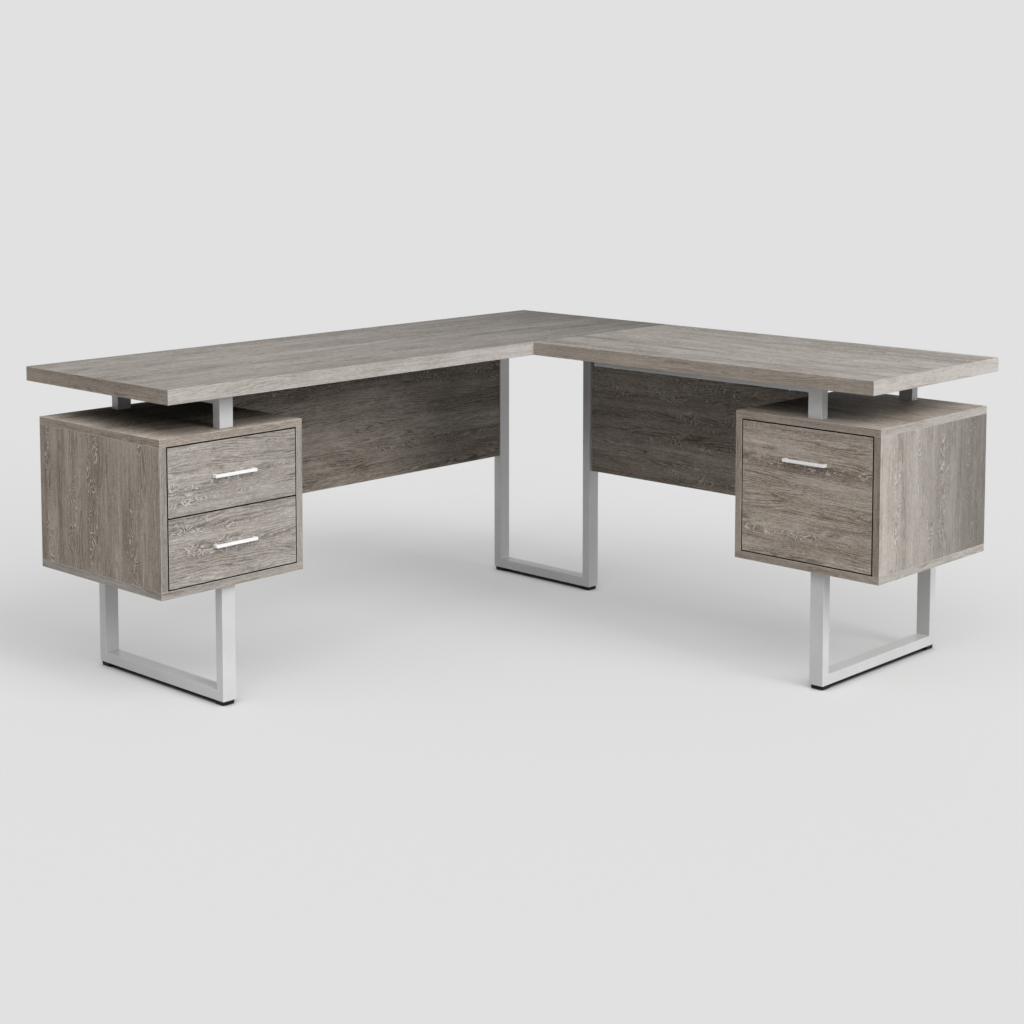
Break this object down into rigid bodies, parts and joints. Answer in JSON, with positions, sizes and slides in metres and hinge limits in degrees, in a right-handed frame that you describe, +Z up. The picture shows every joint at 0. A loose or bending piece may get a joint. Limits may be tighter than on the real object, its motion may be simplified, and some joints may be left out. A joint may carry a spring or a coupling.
{
  "type": "l-shaped desk",
  "caption": "L-shaped desk with a main top and a return, drawer cases held below the tops on short posts, sliding drawers, tube legs on feet and hanging modesty panels.",
  "frame": {"origin": "on the floor, below the middle of the whole footprint", "axes": "+X along the return wing, away from the main wing; +Y along the main wing, towards the return; +Z up"},
  "size_m": [1.59, 1.72, 0.756],
  "materials": {
    "grey_oak": "satin",
    "drawer_box_wood": "matte",
    "silver_metal": "satin",
    "zinc_hardware": "satin",
    "black_feet": "matte"
  },
  "bodies": {
    "desk": {"main_top": "grey_oak", "return_top": "grey_oak", "seam_plates": "zinc_hardware", "seam_screws": "zinc_hardware", "left_case_top": "grey_oak", "left_case_bottom": "grey_oak", "left_case_outer_side": "grey_oak", "left_case_inner_side": "grey_oak", "left_case_back": "grey_oak", "left_case_dowels": "drawer_box_wood", "right_case_top": "grey_oak", "right_case_bottom": "grey_oak", "right_case_outer_side": "grey_oak", "right_case_inner_side": "grey_oak", "right_case_back": "grey_oak", "right_case_dowels": "drawer_box_wood", "upper_runner_fixed": "zinc_hardware", "lower_runner_fixed": "zinc_hardware", "file_runner_fixed": "zinc_hardware", "left_leg": "silver_metal", "left_leg_feet": "black_feet", "right_leg": "silver_metal", "right_leg_feet": "black_feet", "middle_leg": "silver_metal", "middle_leg_feet": "black_feet", "frame_screws": "zinc_hardware", "left_spacer": "silver_metal", "return_front_rail": "silver_metal", "return_rear_rail": "silver_metal", "spacer_bolts": "zinc_hardware", "main_modesty_panel": "grey_oak", "return_modesty_panel": "grey_oak", "panel_brackets": "zinc_hardware", "panel_screws": "zinc_hardware"},
    "upper_drawer": {"upper_front": "grey_oak", "upper_left_side": "drawer_box_wood", "upper_right_side": "drawer_box_wood", "upper_back": "drawer_box_wood", "upper_bottom": "drawer_box_wood", "upper_handle": "silver_metal", "upper_handle_screws": "zinc_hardware", "upper_runner_moving": "zinc_hardware"},
    "lower_drawer": {"lower_front": "grey_oak", "lower_left_side": "drawer_box_wood", "lower_right_side": "drawer_box_wood", "lower_back": "drawer_box_wood", "lower_bottom": "drawer_box_wood", "lower_handle": "silver_metal", "lower_handle_screws": "zinc_hardware", "lower_runner_moving": "zinc_hardware"},
    "file_drawer": {"file_front": "grey_oak", "file_left_side": "drawer_box_wood", "file_right_side": "drawer_box_wood", "file_back": "drawer_box_wood", "file_bottom": "drawer_box_wood", "file_handle": "silver_metal", "file_handle_screws": "zinc_hardware", "file_runner_moving": "zinc_hardware", "file_hanger_rails": "silver_metal"},
    "file_runner": {"file_runner_middle": "zinc_hardware"}
  },
  "joints": [
    {"name": "upper_drawer_slide", "type": "slide", "parent": "desk", "child": "upper_drawer", "axis": [1, 0, 0], "range_m": [0, 0.3]},
    {"name": "lower_drawer_slide", "type": "slide", "parent": "desk", "child": "lower_drawer", "axis": [1, 0, 0], "range_m": [0, 0.3]},
    {"name": "file_drawer_slide", "type": "slide", "parent": "desk", "child": "file_drawer", "axis": [0, -1, 0], "range_m": [0, 0.4]},
    {"name": "file_runner_slide", "type": "slide", "parent": "desk", "child": "file_runner", "axis": [0, -1, 0], "range_m": [0, 0.2]}
  ],
  "couplings": [
    {"joint": "file_runner_slide", "follows": "file_drawer_slide", "ratio": 0.5}
  ]
}
